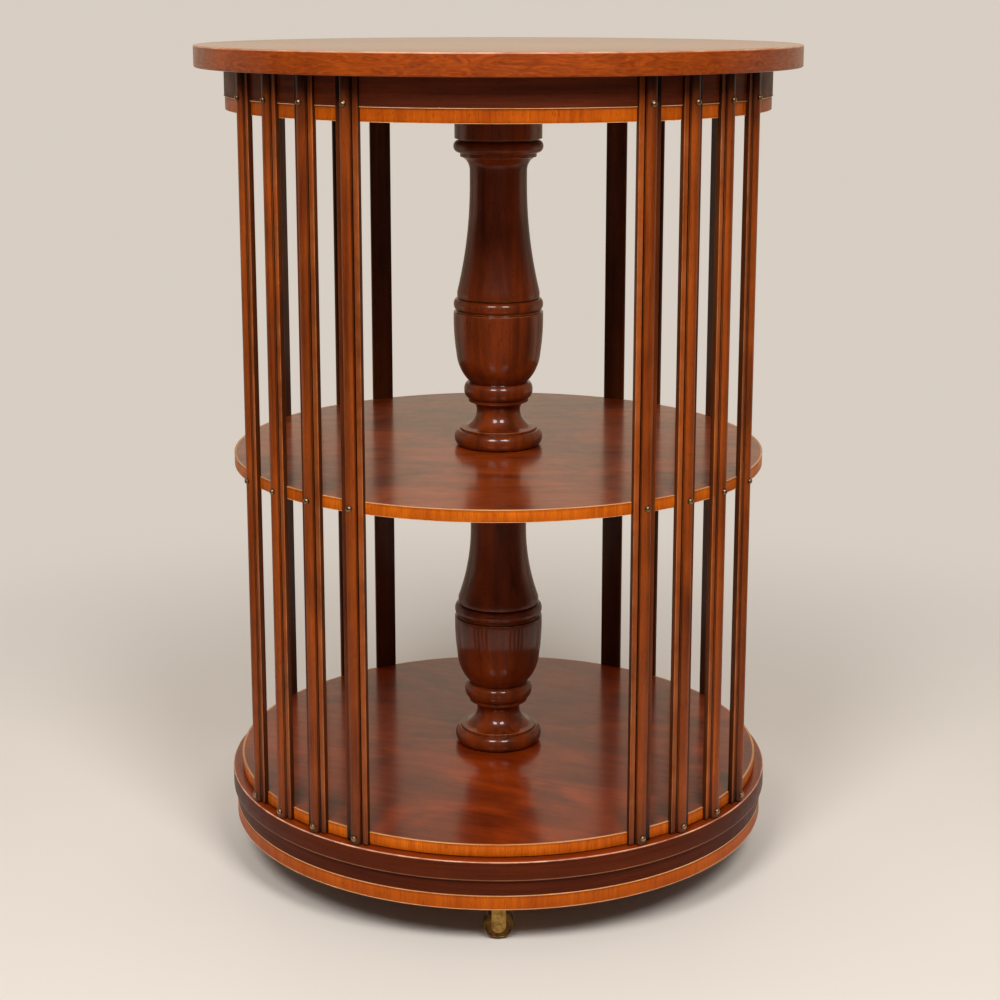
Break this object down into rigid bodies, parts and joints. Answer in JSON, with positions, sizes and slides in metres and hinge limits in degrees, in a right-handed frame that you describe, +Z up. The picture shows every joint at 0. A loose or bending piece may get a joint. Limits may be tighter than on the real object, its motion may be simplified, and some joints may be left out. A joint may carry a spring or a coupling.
{
  "type": "revolving bookcase",
  "caption": "Round two-tier revolving bookcase: slatted drum with turned column on a plinth with swivel castors.",
  "frame": {"origin": "on the floor, on the case's axis of rotation", "axes": "+Z up along the axis of rotation, -Y towards the front"},
  "size_m": [0.5599, 0.56, 0.7803],
  "materials": {
    "mahogany": "French polished",
    "figured_mahogany": "French polished, figured",
    "carcase_pine": "bare",
    "antique_brass": "aged",
    "steel": "plain"
  },
  "bodies": {
    "base": {"plinth_fascia": "mahogany", "plinth_rim": "mahogany", "bearer_through": "carcase_pine", "bearer_cross": "carcase_pine", "pivot_plate": "steel", "castor_plate_right": "antique_brass", "castor_plate_back": "antique_brass", "castor_plate_left": "antique_brass", "castor_plate_front": "antique_brass"},
    "case": {"bottom_shelf": "mahogany", "pivot_socket": "antique_brass", "lower_baluster": "mahogany", "mid_shelf": "mahogany", "upper_baluster": "mahogany", "soffit_board": "mahogany", "frieze_ring": "mahogany", "top_batten_through": "carcase_pine", "top_batten_cross": "carcase_pine", "table_top": "figured_mahogany", "slat_front_left_1": "mahogany", "slat_front_left_2": "mahogany", "slat_front_left_3": "mahogany", "slat_front_left_4": "mahogany", "slat_front_right_1": "mahogany", "slat_front_right_2": "mahogany", "slat_front_right_3": "mahogany", "slat_front_right_4": "mahogany", "slat_back_left_1": "mahogany", "slat_back_left_2": "mahogany", "slat_back_left_3": "mahogany", "slat_back_left_4": "mahogany", "slat_back_right_1": "mahogany", "slat_back_right_2": "mahogany", "slat_back_right_3": "mahogany", "slat_back_right_4": "mahogany"},
    "fork_right": {"castor_fork_right": "antique_brass"},
    "wheel_right": {"castor_wheel_right": "antique_brass"},
    "fork_back": {"castor_fork_back": "antique_brass"},
    "wheel_back": {"castor_wheel_back": "antique_brass"},
    "fork_left": {"castor_fork_left": "antique_brass"},
    "wheel_left": {"castor_wheel_left": "antique_brass"},
    "fork_front": {"castor_fork_front": "antique_brass"},
    "wheel_front": {"castor_wheel_front": "antique_brass"}
  },
  "joints": [
    {"name": "case_turn", "type": "hinge", "parent": "base", "child": "case", "pos_m": [0, 0, 0.0843], "axis": [0, 0, 1], "continuous": true},
    {"name": "castor_right_swivel", "type": "hinge", "parent": "base", "child": "fork_right", "pos_m": [0.22582, 0.00899, 0.0453], "axis": [0, 0, 1], "continuous": true},
    {"name": "castor_right_roll", "type": "hinge", "parent": "fork_right", "child": "wheel_right", "pos_m": [0.22618, 0, 0.014], "axis": [0.9992, 0.0398, 0], "continuous": true},
    {"name": "castor_back_swivel", "type": "hinge", "parent": "base", "child": "fork_back", "pos_m": [-0.00899, 0.22582, 0.0453], "axis": [0, 0, 1], "continuous": true},
    {"name": "castor_back_roll", "type": "hinge", "parent": "fork_back", "child": "wheel_back", "pos_m": [0, 0.22618, 0.014], "axis": [-0.0398, 0.9992, 0], "continuous": true},
    {"name": "castor_left_swivel", "type": "hinge", "parent": "base", "child": "fork_left", "pos_m": [-0.22582, -0.00899, 0.0453], "axis": [0, 0, 1], "continuous": true},
    {"name": "castor_left_roll", "type": "hinge", "parent": "fork_left", "child": "wheel_left", "pos_m": [-0.22618, 0, 0.014], "axis": [-0.9992, -0.0398, 0], "continuous": true},
    {"name": "castor_front_swivel", "type": "hinge", "parent": "base", "child": "fork_front", "pos_m": [0.00899, -0.22582, 0.0453], "axis": [0, 0, 1], "continuous": true},
    {"name": "castor_front_roll", "type": "hinge", "parent": "fork_front", "child": "wheel_front", "pos_m": [0, -0.22618, 0.014], "axis": [0.0398, -0.9992, 0], "continuous": true}
  ]
}
